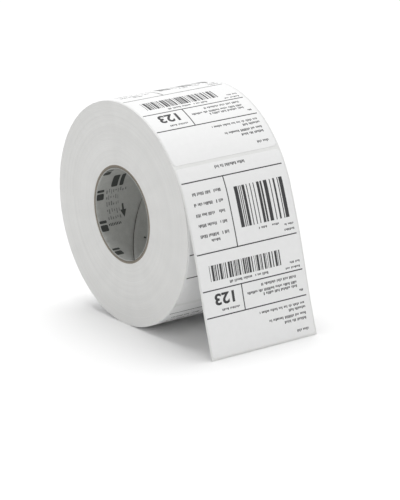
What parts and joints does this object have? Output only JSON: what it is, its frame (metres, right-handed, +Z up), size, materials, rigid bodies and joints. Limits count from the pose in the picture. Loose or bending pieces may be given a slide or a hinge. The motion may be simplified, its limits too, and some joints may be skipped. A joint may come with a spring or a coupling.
{
  "type": "thermal label roll",
  "caption": "Roll of blank-backed die-cut shipping labels on a liner, wound on a cardboard core, with a hinged free tail and a label end that peels back.",
  "frame": {"origin": "on the core's axis, halfway along the core", "axes": "+Y along the core's axis, +Z up as the roll stands on its edge, +X from the axis towards the side where the free tail hangs"},
  "size_m": [0.2162, 0.104, 0.1872],
  "materials": {
    "label": "smooth coated thermal paper, matt",
    "liner": "smooth calendered liner, slight sheen",
    "wound_web": "slit edges of hundreds of turns, finely layered",
    "core_facing_grey": "grey paper, matt",
    "core_board": "brown board, matt",
    "tape": "paper tape, matt"
  },
  "bodies": {
    "root": {"core_inner_facing": "core_facing_grey", "core_board_ply_1": "core_board", "core_board_ply_2": "core_board", "core_board_ply_3": "core_board", "core_board_ply_4": "core_board", "core_outer_facing": "core_board", "start_tape": "tape", "wound_web": "wound_web", "outer_turn_liner": "liner", "label_1_on_roll": "label", "label_2": "label", "label_3": "label", "label_4": "label", "label_5": "label"},
    "tail": {"tail_liner": "liner", "label_1_on_tail": "label"},
    "label_end": {"label_1_free_end": "label"}
  },
  "joints": [
    {"name": "tail_swing", "type": "hinge", "parent": "root", "child": "tail", "pos_m": [0.09249, 0, 0.01701], "axis": [0, -1, 0], "range_deg": [0, 80]},
    {"name": "label_peel", "type": "hinge", "parent": "tail", "child": "label_end", "pos_m": [0.1019, 0, -0.01797], "axis": [0, -1, 0], "range_deg": [0, 100]}
  ]
}
